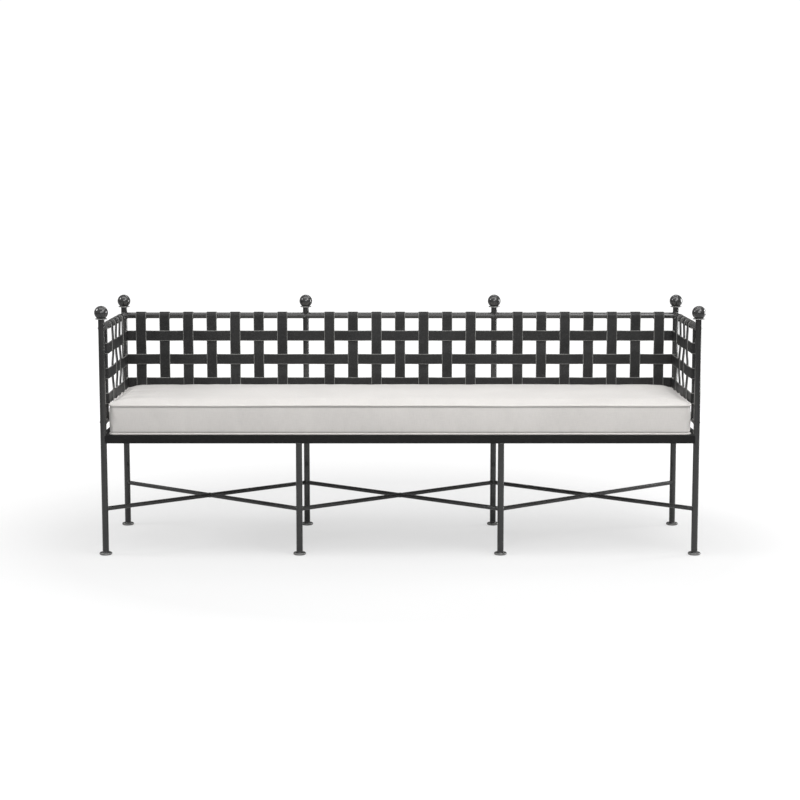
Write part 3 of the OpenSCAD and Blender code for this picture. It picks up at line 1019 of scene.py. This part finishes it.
def stretcher_seams():
    """Seams of the crossed stretchers at the legs and where each pair crosses."""
    bar = round_outline(STRETCHER_R)
    seams = []
    for left, right in zip(POSTS_X, POSTS_X[1:]):
        through = Vector((right - left, REAR_Y - FRONT_Y, 0)).normalized()
        halves = Vector((left - right, REAR_Y - FRONT_Y, 0)).normalized()
        for front, rear, run in ((left, right, through), (right, left, halves)):
            seams.append(cope_line(front, FRONT_Y, STRETCHER_Z, run, bar))
            seams.append(cope_line(rear, REAR_Y, STRETCHER_Z, -run, bar))
        cross = Vector(((left + right) / 2, (FRONT_Y + REAR_Y) / 2, STRETCHER_Z))
        across = to_left(through)
        for run in (halves, -halves):
            side = to_left(run)
            away = across if run.dot(across) > 0 else -across
            line = []
            for sideways, up in bar:
                reach = (abs(sideways) - sideways * side.dot(away)) / run.dot(away)
                line.append(cross + run * reach + side * sideways + UP * up)
            seams.append(line)
    return seams


def seat_seams():
    """Seams of the seat rails at the posts, the middle legs and the feet."""
    half_t, half_h = SEAT_RAIL.x / 2, SEAT_RAIL.z / 2
    height = SEAT_TOP - half_h
    rail = box_outline(half_t, half_h)
    seams = rail_seams(height, rail)
    seams.append(cope_line(-HALF_SPAN, FRONT_Y, height, ALONG_X, rail))
    seams.append(cope_line(HALF_SPAN, FRONT_Y, height, -ALONG_X, rail))
    rings = [(x, FRONT_Y, LEG_TOP, half_t) for x in (-HALF_MID, HALF_MID)]
    rings += [(x, y, FOOT_TOP, TUBE_R) for y in (FRONT_Y, REAR_Y) for x in POSTS_X]
    for x, y, z, radius in rings:
        seams.append([(x + px, y + py, z) for px, py in round_outline(radius)])
    return seams


class DAYBED_OT_welds(bpy.types.Operator):
    """Runs a painted weld bead round every joint of the frame"""

    bl_idname = "daybed.welds"
    bl_label = "Run the weld beads"

    def execute(self, context):
        welds = context.scene.daybed_welds
        tree = round_bead_tree()
        bead = {
            "Radius": welds.bead_radius,
            "Sides": 8,
            "Ripple length": welds.ripple_length,
            "Ripple height": welds.ripple_height,
            "Spacing": welds.ripple_length / 3,
            "Material": bpy.data.materials["Charcoal tube coat"],
        }
        groups = {
            "welds_rails": tube_seams(),
            "welds_stretchers": stretcher_seams(),
            "welds_seat": seat_seams(),
        }
        for name, seams in groups.items():
            paths = path_object("seams", seams, closed=True)
            settle(grow(name, tree, {"Places": paths, **bead}), FRAME_BODY, "frame_iron")
            discard(paths)
        return {"FINISHED"}


# ---- cushion ---------------------------------------------------------------------------------

OUTER_X = CUSHION_HIGH.x - PIPING_R
OUTER_FRONT = CUSHION_LOW.y + PIPING_R
OUTER_REAR = CUSHION_HIGH.y - PIPING_R
MIDDLE_Y = (OUTER_FRONT + OUTER_REAR) / 2
HALF_DEPTH = (OUTER_REAR - OUTER_FRONT) / 2
BASE_Z = CUSHION_LOW.z
LOWER_SEAM_Z = BASE_Z + PIPING_R
UPPER_SEAM_Z = CUSHION_HIGH.z - PIPING_R
CORNER_R = 18 * MM
EDGE_ROLL = 50 * MM  # how far in from the front and the rear seam the top rolls over
END_ROLL = 120 * MM  # the same from the two end seams
UNDER_ROLL = 8 * MM
CROWN_AT_EDGE = 0.62  # share of the crown that is left beside the roll
GROOVE_STEPS = [3 * MM, 2.5 * MM, 4 * MM]  # first lines of the cover's grid in from a seam
GROOVE_DEPTHS = [1.8 * MM, 0.8 * MM]
FOAM_EASE = Vector((4.0, 3.0, 1.0)) * MM  # how far the foam block stays inside its room
FOAM_COLOUR = (0.78, 0.70, 0.48)
THREAD_COLOUR = (0.72, 0.70, 0.66)
NYLON_COLOUR = (0.62, 0.60, 0.56)
ZIP_METAL_COLOUR = (0.35, 0.34, 0.33)
GRID_X, GRID_Y, GRID_Z = 15 * MM, 7.5 * MM, 11 * MM  # steps of the cover's grid
# Waves in a metre, roughly, and height of the unevenness of the top and of the boxing
BROAD_WAVES = (5.0, 1.2 * MM)
FINE_WAVES = (22.0, 0.5 * MM)
BOXING_WAVES = (9.0, 0.8 * MM)
FOLD_WIDTH = 9 * MM
FOLD_SPREAD = 0.14  # widening of a fold for each metre that it runs in
# Place of each end fold across the cushion, its height and its lean, all as shares
LEFT_FOLDS = [
    (0.10, 0.7, 0.3),
    (0.27, 1.0, 0.5),
    (0.43, 0.8, -0.1),
    (0.60, 1.0, 0.2),
    (0.77, 0.8, -0.4),
    (0.91, 0.6, -0.6),
]
RIGHT_FOLDS = [
    (0.08, 0.6, 0.4),
    (0.23, 0.9, 0.3),
    (0.38, 0.7, 0.2),
    (0.55, 1.0, -0.2),
    (0.72, 0.9, 0.1),
    (0.88, 0.7, -0.5),
]
FILLING_FRAMES = 20
FILLING = {
    "quality": 6,
    "mass": 0.15,
    "tension_stiffness": 12,
    "compression_stiffness": 12,
    "shear_stiffness": 5,
    "bending_stiffness": 0.4,
    "vertex_group_mass": "seams",
    "use_pressure": True,
    "uniform_pressure_force": 4.0,
    "shrink_min": -0.006,
}


def graded(low, high, step, edge_steps):
    """Grid lines from low to high, closer together near both ends."""
    near = [sum(edge_steps[: k + 1]) for k in range(len(edge_steps))]
    inner = high - low - 2 * near[-1]
    count = max(round(inner / step), 1)
    mids = [near[-1] + inner * k / count for k in range(1, count)]
    return [low + d for d in (0.0, *near, *mids)] + [high - d for d in reversed(near)] + [high]


def corner_rounded(x, y):
    """Moves a point of the plan grid so that the plan's corners are round."""
    cx, cy = OUTER_X - CORNER_R, HALF_DEPTH - CORNER_R
    dx, dy = abs(x) - cx, abs(y - MIDDLE_Y) - cy
    if dx <= 0 or dy <= 0:
        return x, y
    reach = max(dx, dy) / math.hypot(dx, dy)
    out_x, out_y = cx + dx * reach, cy + dy * reach
    return math.copysign(out_x, x), MIDDLE_Y + math.copysign(out_y, y - MIDDLE_Y)


def rolled(distance, roll):
    """Height of a quarter-round edge at a distance in from it, as a share, squared."""
    return 1 - (1 - max(min(distance / roll, 1.0), 0.0)) ** 2


def top_height(x, y):
    """Height of the top: a quick roll at the edge and a slow crown."""
    depth = min(y - OUTER_FRONT, OUTER_REAR - y)
    roll = math.sqrt(rolled(OUTER_X - abs(x), END_ROLL) * rolled(depth, EDGE_ROLL))
    slow = (1 - (abs(x) / OUTER_X) ** 4) * (1 - ((y - MIDDLE_Y) / HALF_DEPTH) ** 2)
    rise = roll * (CROWN_AT_EDGE + (1 - CROWN_AT_EDGE) * slow)
    return UPPER_SEAM_Z + bpy.context.scene.daybed_cushion.crown * rise


def under_height(x, y):
    """Height of the underside, which drops a cord's radius just inside its seam."""
    inside = min(OUTER_X - abs(x), y - OUTER_FRONT, OUTER_REAR - y)
    return LOWER_SEAM_Z - PIPING_R * min(inside / UNDER_ROLL, 1.0)


class CoverShape:
    """Grid of the cover: top, bottom and boxing, with its seams and flat coordinates."""

    def __init__(self):
        self.xs = graded(-OUTER_X, OUTER_X, GRID_X, [*GROOVE_STEPS, 6 * MM, 9 * MM, 12 * MM])
        self.ys = graded(OUTER_FRONT, OUTER_REAR, GRID_Y, [*GROOVE_STEPS, 6 * MM])
        self.verts, self.faces, self.flat = [], [], []
        nx, ny = len(self.xs), len(self.ys)
        self.top = self.panel(top_height)
        self.bottom = self.panel(under_height)
        for j in range(ny - 1):
            for i in range(nx - 1):
                quad = ((i, j), (i + 1, j), (i + 1, j + 1), (i, j + 1))
                places = [(self.xs[a], self.ys[b]) for a, b in quad]
                self.add_face([self.top[b][a] for a, b in quad], places)
                self.add_face([self.bottom[b][a] for a, b in reversed(quad)], places[::-1])
        ring = [(i, 0) for i in range(nx)] + [(nx - 1, j) for j in range(1, ny)]
        ring += [(i, ny - 1) for i in range(nx - 2, -1, -1)]
        ring += [(0, j) for j in range(ny - 2, 0, -1)]
        self.upper_seam = [self.top[j][i] for i, j in ring]
        self.lower_seam = [self.bottom[j][i] for i, j in ring]
        self.box_sides()

    def add_vert(self, x, y, z):
        self.verts.append(Vector((x, y, z)))
        return len(self.verts) - 1

    def add_face(self, corners, places):
        self.faces.append(corners)
        self.flat.extend(places)

    def panel(self, height):
        """Rows of points over the plan."""
        return [
            [self.add_vert(*corner_rounded(x, y), height(x, y)) for x in self.xs] for y in self.ys
        ]

    def box_sides(self):
        """Boxing between the two seams, all the way round."""
        heights = graded(LOWER_SEAM_Z, UPPER_SEAM_Z, GRID_Z, [*GROOVE_STEPS, 7 * MM])
        plan = [self.verts[k].xy for k in self.lower_seam]
        between = [[self.add_vert(*place, z) for place in plan] for z in heights[1:-1]]
        self.boxing = [self.lower_seam, *between, self.upper_seam]
        lengths = [0.0]
        for here, after in zip(plan, plan[1:] + plan[:1]):
            lengths.append(lengths[-1] + (after - here).length)
        for level, (below, above) in enumerate(zip(self.boxing, self.boxing[1:])):
            low, high = heights[level : level + 2]
            for k in range(len(plan)):
                after = (k + 1) % len(plan)
                start, end = lengths[k], lengths[k + 1]
                places = [(start, low), (end, low), (end, high), (start, high)]
                self.add_face([below[k], below[after], above[after], above[k]], places)

    def mesh(self, name):
        made = mesh_of(name, [tuple(v) for v in self.verts], self.faces)
        cloth = made.uv_layers.new(name="cloth")
        for corner, place in zip(cloth.data, self.flat):
            corner.uv = place
        made.update()
        return made


def fill(piece, pinned):
    """Cloth simulation: filling presses the cover out between its pinned seams."""
    piece.vertex_groups.new(name="seams").add(pinned, 1.0, "REPLACE")
    cloth = piece.modifiers.new("Filling", "CLOTH")
    for key, value in FILLING.items():
        setattr(cloth.settings, key, value)
    cloth.settings.effector_weights.gravity = 0.0
    cloth.point_cache.frame_start = 1
    cloth.point_cache.frame_end = FILLING_FRAMES
    scene = bpy.context.scene
    for number in range(1, FILLING_FRAMES + 1):
        scene.frame_set(number)
    graph = bpy.context.evaluated_depsgraph_get()
    moved = [v.co.copy() for v in piece.evaluated_get(graph).data.vertices]
    piece.modifiers.remove(cloth)
    piece.vertex_groups.clear()
    scene.frame_set(1)
    return moved


def uneven(place, waves):
    scale, height = waves
    return noise.noise(place * scale) * height


def end_fold(x, y, cushion):
    """Lift of the soft folds that run in from the end seams."""
    inward = OUTER_X - abs(x)
    width = FOLD_WIDTH + inward * FOLD_SPREAD
    lift = 0.0
    for place, height, lean in LEFT_FOLDS if x < 0 else RIGHT_FOLDS:
        line = OUTER_FRONT + 2 * HALF_DEPTH * place + lean * inward * 0.5
        fade = math.exp(-((inward / cushion.pleat_reach) ** 2) * (1.2 - 0.5 * height))
        lift += height * fade * math.exp(-(((y - line) / width) ** 2))
    return lift * cushion.pleat_height


class DAYBED_OT_cushion(bpy.types.Operator):
    """Sews the cover, fills it by cloth simulation, and pipes its two seams"""

    bl_idname = "daybed.cushion"
    bl_label = "Fill the cushion"

    def execute(self, context):
        cushion = context.scene.daybed_cushion
        colour, pitch = cushion.cloth_colour, cushion.thread_pitch
        plain_weave_group()
        cloth = woven_cloth("Off-white canvas", colour, pitch, slubs=1.3)
        cord = woven_cloth("Off-white piping cloth", [c * 1.06 for c in colour], pitch, slubs=0.3)
        shape = CoverShape()
        cover = link_object("cushion_canvas", shape.mesh("cushion_canvas"))
        rest = [v.co.copy() for v in cover.data.vertices]
        moved = fill(cover, shape.upper_seam + shape.lower_seam)
        self.place_vertices(cover, shape, rest, moved, cushion)
        cover.data.materials.append(cloth)
        for polygon in cover.data.polygons:
            polygon.use_smooth = True
        self.pipe(cover, shape, cord)
        smooth = cover.modifiers.new("Smooth", "SUBSURF")
        smooth.levels = smooth.render_levels = 1
        settle(cover, CUSHION_BODY, "cushion_fabric", "cushion_cover")
        self.stuff()
        self.fasten(cover, shape, cushion)
        return {"FINISHED"}

    def place_vertices(self, cover, shape, rest, moved, cushion):
        """Caps the swelling, keeps the underside flat, and adds folds, grooves and unevenness, with
        painted shade in the boxing's grooves.
        """
        on_top = {index for row in shape.top for index in row}
        below = {index for row in shape.bottom for index in row}
        upper = set(shape.upper_seam)
        grooves = {}
        for levels in (shape.boxing[1:], shape.boxing[-2::-1]):
            for level, depth in zip(levels, GROOVE_DEPTHS):
                grooves.update(dict.fromkeys(level, depth))
        # attribute that marks painted shade in the grooves beside the seams
        seam_shades = cover.data.attributes.new("seam_shade", "FLOAT", "POINT")
        for index, (start, end) in enumerate(zip(rest, moved)):
            limit = cushion.swell_limit if index in on_top else cushion.side_limit
            push = end - start
            if push.length > limit:
                push *= limit / push.length
            place = start + push
            if index in below:
                place = Vector((start.x, start.y, max(start.z, BASE_Z)))
            elif index in on_top:
                place.z += end_fold(start.x, start.y, cushion)
                place.z += uneven(start, BROAD_WAVES)
                if index not in upper:
                    place.z += uneven(start, FINE_WAVES)
            else:
                long_way, cross = start.x / OUTER_X, (start.y - MIDDLE_Y) / HALF_DEPTH
                side, way = (ALONG_X, long_way) if abs(long_way) > abs(cross) else (ALONG_Y, cross)
                out = uneven(start, BOXING_WAVES) - grooves.get(index, 0.0)
                place += side * (out if way >= 0 else -out)
                seam_shades.data[index].value = float(index in grooves)
            cover.data.vertices[index].co = place
        cover.data.update()

    def pipe(self, cover, shape, cord):
        """Piping cord along both seams."""
        seams = (shape.upper_seam, shape.lower_seam)
        lines = [[cover.data.vertices[k].co.copy() for k in seam] for seam in seams]
        paths = path_object("piping_path", lines, closed=True)
        run = {
            "Places": paths,
            "Radius": PIPING_R,
            "Sides": 14,
            "Ripple length": 9 * MM,
            "Ripple height": 0.02,
            "Spacing": 4 * MM,
            "Material": cord,
        }
        piping = grow("cushion_piping_cord", bpy.data.node_groups["Round bead"], run)
        discard(paths)
        settle(piping, CUSHION_BODY, "piping_fabric", "cushion_piping")

    def stuff(self):
        """Foam block that fills the cover."""
        made, tree, shader = new_material("Cream foam")
        pores = {"Vector": tree.object_place(), "Scale": 700.0}
        cells = tree.add("ShaderNodeTexVoronoi", pores)["Distance"]
        look = {
            "Base Color": tree.toned(cells, FOAM_COLOUR, *FOAM_TONES),
            "Normal": tree.bump(cells, *FOAM_BUMP),
            "Roughness": 0.95,
        }
        tree.feed(shader, look)
        low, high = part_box("cushion_core")
        low, high = low + FOAM_EASE, Vector((high.x, high.y, UPPER_SEAM_Z)) - FOAM_EASE
        block = block_object("cushion_foam_block", high - low, 12 * MM, (low + high) / 2)
        block.data.materials.append(made)
        settle(block, CUSHION_BODY, "cushion_foam", "cushion_core")

    def fasten(self, cover, shape, cushion):
        """Zip along the rear boxing: tape, teeth, two lines of stitches and a slider."""
        level = shape.boxing[len(shape.boxing) // 2]
        first = len(shape.xs) + len(shape.ys) - 2
        rear = [cover.data.vertices[k].co for k in level[first : first + len(shape.xs)]]
        half = cushion.zip_length / 2
        line = [v + ALONG_Y * 0.7 * MM for v in rear if abs(v.x) < half]
        cloth = [c * 0.9 for c in cushion.cloth_colour]
        thread = plain_plastic("Off-white thread", THREAD_COLOUR, 0.6)
        nylon = plain_plastic("Off-white zip nylon", NYLON_COLOUR, 0.35)
        metal = plain_plastic("Dull zip metal", ZIP_METAL_COLOUR, 0.3, metallic=1.0)
        path = path_object("zip_path", [line])
        tape = {
            "Places": path,
            "Width": 26 * MM,
            "Thickness": 1.2 * MM,
            "Edge radius": 0.4 * MM,
            "Material": woven_cloth("Zip tape cloth", cloth, 0.5 * MM, slubs=0.2),
        }
        bars = bpy.data.node_groups["Bars along paths"]
        settle(grow("cushion_zip_tape", bars, tape), CUSHION_BODY, "cushion_fabric")
        discard(path)
        copies = copies_tree("Copies along paths", along_lines=True)
        # Name, heights of the rows, stand-off, size and pitch in millimetres, and material
        rows = (
            ("teeth", (0.0,), 1.0, (2.6, 2.6, 1.5), 2.6, nylon),
            ("stitches", (-9.5, 9.5), 0.6, (0.7, 0.7, 3.0), 4.6, thread),
        )
        for name, heights, out, size, pitch, coat in rows:
            unit = block_object("zip_unit", Vector(size) * MM, 0.2 * MM)
            shifts = [Vector((0.0, out, height)) * MM for height in heights]
            path = path_object("zip_path", [[p + shift for p in line] for shift in shifts])
            run = {"Piece": unit, "Places": path, "Pitch": pitch * MM, "Material": coat}
            settle(grow(f"cushion_zip_{name}", copies, run), CUSHION_BODY, "cushion_fabric")
            discard(unit, path)
        stop = max(line, key=lambda p: p.x)
        # Name, size and place from the stop in millimetres
        parts = (
            ("slider", (13.0, 3.4, 9.0), (-8.0, 1.6, 0.0)),
            ("pull", (5.5, 1.2, 20.0), (-8.0, 3.4, -9.0)),
        )
        for name, size, shift in parts:
            centre = stop + Vector(shift) * MM
            block = block_object(f"cushion_zip_{name}", Vector(size) * MM, 0.5 * MM, centre)
            block.data.materials.append(metal)
            settle(block, CUSHION_BODY, "cushion_fabric")


# ---- stage --------------------------------------------------------------------------------------

FLOOR_HALF = 60.0
FLOOR_COLOUR = (0.37, 0.37, 0.37)
GREY = opaque((0.5, 0.5, 0.5))
WHITE = opaque((1.0, 1.0, 1.0))
GLOW_ENDS = (1.2, 3.0)  # distances at which the floor's glow starts to rise and is at its most
FAR_GLOW = 0.95
BACKDROP = 1.05  # strength of the white that the camera sees behind everything
# Name, place, point aimed at, width, height and power of each softbox
SOFTBOXES = (
    ("Overhead softbox", (0.0, -0.7, 3.5), (0.0, 0.1, 0.4), 4.6, 1.8, 50.0),
    ("Front softbox", (0.5, -5.0, 2.2), (0.0, 0.0, 0.4), 3.4, 1.8, 60.0),
    ("High right softbox", (1.8, -2.6, 3.2), (0.2, 0.0, 0.5), 2.0, 1.2, 42.0),
    ("Left softbox", (-3.3, -0.3, 2.5), (0.0, 0.0, 0.6), 0.9, 0.9, 26.0),
    ("Right softbox", (3.6, 1.0, 1.1), (0.0, 0.0, 0.7), 0.6, 1.8, 50.0),
    ("Rear strip", (0.8, 1.7, 3.3), (0.2, 0.3, 0.8), 3.2, 0.16, 14.0),
)


class DAYBED_OT_stage(bpy.types.Operator):
    """Sets the pale floor, the soft studio lights and the camera"""

    bl_idname = "daybed.stage"
    bl_label = "Set the stage"

    def execute(self, context):
        scene, settings = context.scene, context.scene.daybed_stage
        self.floor(settings.glow)
        scene.world = self.surround(settings.surround)
        for name, place, aim, width, height, power in SOFTBOXES:
            lamp = bpy.data.lights.new(name, "AREA")
            lamp.shape = "RECTANGLE"
            lamp.size, lamp.size_y, lamp.energy = width, height, power
            stand = link_object(name, lamp)
            stand.location = place
            facing = (Vector(aim) - stand.location).to_track_quat("-Z", "Y")
            stand.rotation_euler = facing.to_euler()
        camera = bpy.data.cameras.new("Studio camera")
        camera.lens = settings.lens
        camera.sensor_width = 36.0
        camera.clip_end = 200.0
        scene.camera = link_object("Studio camera", camera)
        scene.camera.location = settings.camera_place
        scene.camera.rotation_euler = (QUARTER_TURN - settings.camera_tilt, 0.0, 0.0)
        scene.view_settings.view_transform = "Standard"
        return {"FINISHED"}

    def floor(self, glow):
        """Floor that glows for the camera, is plain to other rays and is clear from below."""
        made, tree, shader = new_material("Pale studio floor")
        place = tree.object_place()
        distance = tree.add("ShaderNodeVectorMath", {0: place}, operation="LENGTH")[1]
        look = {
            "Base Color": tree.toned(tree.noise(place, 0.8, 2.0), FLOOR_COLOUR, 0.99, 1.01),
            "Roughness": 0.9,
            "Specular IOR Level": 0.0,
            "Emission Color": WHITE,
            "Emission Strength": tree.ramp(distance, *GLOW_ENDS, glow, FAR_GLOW),
        }
        tree.feed(shader, look)
        nodes = made.node_tree.nodes
        ray = tree.add("ShaderNodeLightPath")["Is Camera Ray"]
        plain = tree.add("ShaderNodeBsdfDiffuse", {"Color": GREY})[0]
        seen = tree.mix(ray, plain, nodes["Principled BSDF"].outputs[0])
        unseen = tree.math("MULTIPLY", tree.add("ShaderNodeNewGeometry")["Backfacing"], ray)
        one_sided = tree.mix(unseen, seen, tree.add("ShaderNodeBsdfTransparent")[0])
        tree.feed(nodes["Material Output"].inputs, {"Surface": one_sided})
        h = FLOOR_HALF
        corners = [(-h, -h, 0), (h, -h, 0), (h, h, 0), (-h, h, 0)]
        mesh = mesh_of("studio_floor", corners, [(0, 1, 2, 3)])
        mesh.materials.append(made)
        link_object("studio_floor", mesh)

    def surround(self, strength):
        """White surround, brighter above, at the sides and in front, and even for the camera."""
        world = bpy.data.worlds.new("White surround")
        world.use_nodes = True
        nodes, tree = world.node_tree.nodes, Tree(world.node_tree)
        way = tree.split(tree.add("ShaderNodeTexCoord")["Generated"])
        parts = (
            (way["Z"], 0.2, 0.7, 0.25),
            (tree.math("ABSOLUTE", way["X"]), 0.5, 0.9, 0.2),
            (tree.math("MULTIPLY", way["Y"], -1.0), 0.2, 0.9, 0.3),
        )
        for value, start, end, gain in parts:
            share = tree.ramp(value, start, end, 0.0, gain, kind="SMOOTHSTEP")
            strength = tree.math("ADD", share, strength)
        lit = nodes["Background"]
        tree.feed(lit.inputs, {"Color": WHITE, "Strength": strength})
        seen = tree.add("ShaderNodeBackground", {"Color": WHITE, "Strength": BACKDROP})[0]
        ray = tree.add("ShaderNodeLightPath")["Is Camera Ray"]
        tree.feed(nodes["World Output"].inputs, {"Surface": tree.mix(ray, lit.outputs[0], seen)})
        return world


# ---- panel and registration --------------------------------------------------------------------

STEPS = (
    DAYBED_OT_iron_frame,
    DAYBED_OT_collars,
    DAYBED_OT_upright_straps,
    DAYBED_OT_rows,
    DAYBED_OT_deck,
    DAYBED_OT_welds,
    DAYBED_OT_cushion,
    DAYBED_OT_stage,
)


class DAYBED_PT_steps(bpy.types.Panel):
    """Steps that build the daybed, and the sizes they use"""

    bl_idname = "DAYBED_PT_steps"
    bl_label = "Woven iron daybed"
    bl_space_type = "VIEW_3D"
    bl_region_type = "UI"
    bl_category = "Daybed"

    def draw(self, context):
        for step in STEPS:
            self.layout.operator(step.bl_idname)
        for key, group in SETTINGS.items():
            box = self.layout.box()
            box.label(text=group.__doc__)
            for name in group.__annotations__:
                box.prop(getattr(context.scene, key), name)


CLASSES = (*SETTINGS.values(), *STEPS, DAYBED_PT_steps)


def register():
    for kind in CLASSES:
        bpy.utils.register_class(kind)
    for key, group in SETTINGS.items():
        setattr(bpy.types.Scene, key, bpy.props.PointerProperty(type=group))


def unregister():
    for key in SETTINGS:
        delattr(bpy.types.Scene, key)
    for kind in reversed(CLASSES):
        bpy.utils.unregister_class(kind)


def main():
    register()
    for step in STEPS:
        group, name = step.bl_idname.split(".")
        getattr(getattr(bpy.ops, group), name)()


if __name__ == "__main__":
    main()
